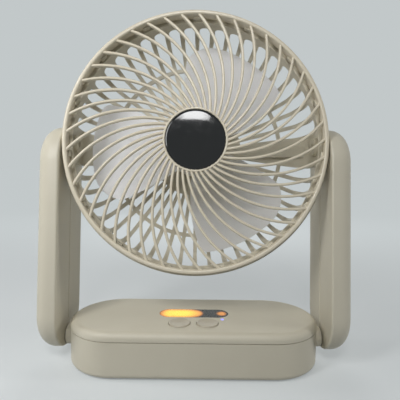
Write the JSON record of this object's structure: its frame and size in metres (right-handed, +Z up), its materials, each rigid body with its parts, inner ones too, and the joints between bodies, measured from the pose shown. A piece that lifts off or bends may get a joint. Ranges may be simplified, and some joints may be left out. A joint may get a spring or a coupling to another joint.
{
  "type": "folding desk fan",
  "caption": "Rechargeable desk fan: a round caged head tilts between two arms that fold on the ends of a pill-shaped base with a display and push buttons.",
  "frame": {"origin": "table level under the middle of the outline, with the arms leaning 6 degrees back on the base", "axes": "+Z up; the fan blows towards -Y; +X runs along the hinges, to the right as seen from the front"},
  "size_m": [0.2244, 0.0878, 0.2583],
  "materials": {
    "cream_shell": "satin moulded plastic",
    "button_cap": "satin moulded plastic",
    "white_blade": "satin moulded plastic",
    "gloss_black": "polished plastic",
    "smoked_window": "smoked clear plastic",
    "lit_display": "lit amber display",
    "blue_lens": "clear blue light pipe",
    "circuit_board": "solder resist",
    "black_plastic": "moulded plastic",
    "cell_wrap": "shrink-wrapped steel can",
    "rubber_foot": "matt",
    "washer_plastic": "low-friction plastic",
    "steel": "zinc plated",
    "core_steel": "varnished steel",
    "magnet": "bonded ferrite",
    "copper": "enamelled wire"
  },
  "bodies": {
    "base": {"base_tub": "cream_shell", "base_lid": "cream_shell", "display_window": "smoked_window", "display_module": "lit_display", "indicator_lens": "blue_lens", "control_board": "circuit_board", "tact_switches": "black_plastic", "board_screws": "steel", "battery_tray": "black_plastic", "battery_cells": "cell_wrap", "charge_board": "circuit_board", "charging_socket": "steel", "rubber_feet": "rubber_foot", "base_screws": "steel", "left_base_axle": "steel", "right_base_axle": "steel", "base_washers": "washer_plastic", "base_clips": "steel"},
    "arms": {"left_arm_front": "cream_shell", "left_arm_rear": "cream_shell", "right_arm_front": "cream_shell", "right_arm_rear": "cream_shell", "arm_screws": "steel"},
    "head": {"front_grille": "cream_shell", "hub_badge": "gloss_black", "rear_cover": "cream_shell", "left_head_axle": "cream_shell", "right_head_axle": "cream_shell", "head_washers": "washer_plastic", "head_clips": "steel", "bearings": "steel", "stator_core": "core_steel", "stator_coils": "copper", "driver_board": "circuit_board"},
    "rotor": {"impeller": "white_blade", "rotor_yoke": "core_steel", "magnet_ring": "magnet", "motor_shaft": "steel"},
    "left_button": {"left_button": "button_cap"},
    "right_button": {"right_button": "button_cap"}
  },
  "joints": [
    {"name": "arm_fold", "type": "hinge", "parent": "base", "child": "arms", "pos_m": [0, -0.00781, 0.017], "axis": [1, 0, 0], "range_deg": [-48, 60]},
    {"name": "head_tilt", "type": "hinge", "parent": "arms", "child": "head", "pos_m": [0, 0.00724, 0.16021], "axis": [1, 0, 0], "range_deg": [-88, 92]},
    {"name": "blade_spin", "type": "hinge", "parent": "head", "child": "rotor", "pos_m": [0, 0.00724, 0.16021], "axis": [0, -0.991, 0.134], "continuous": true},
    {"name": "left_button_press", "type": "slide", "parent": "base", "child": "left_button", "axis": [0, 0, -1], "range_m": [0, 0.0005], "stiffness_N_per_m": 4000},
    {"name": "right_button_press", "type": "slide", "parent": "base", "child": "right_button", "axis": [0, 0, -1], "range_m": [0, 0.0005], "stiffness_N_per_m": 4000}
  ]
}
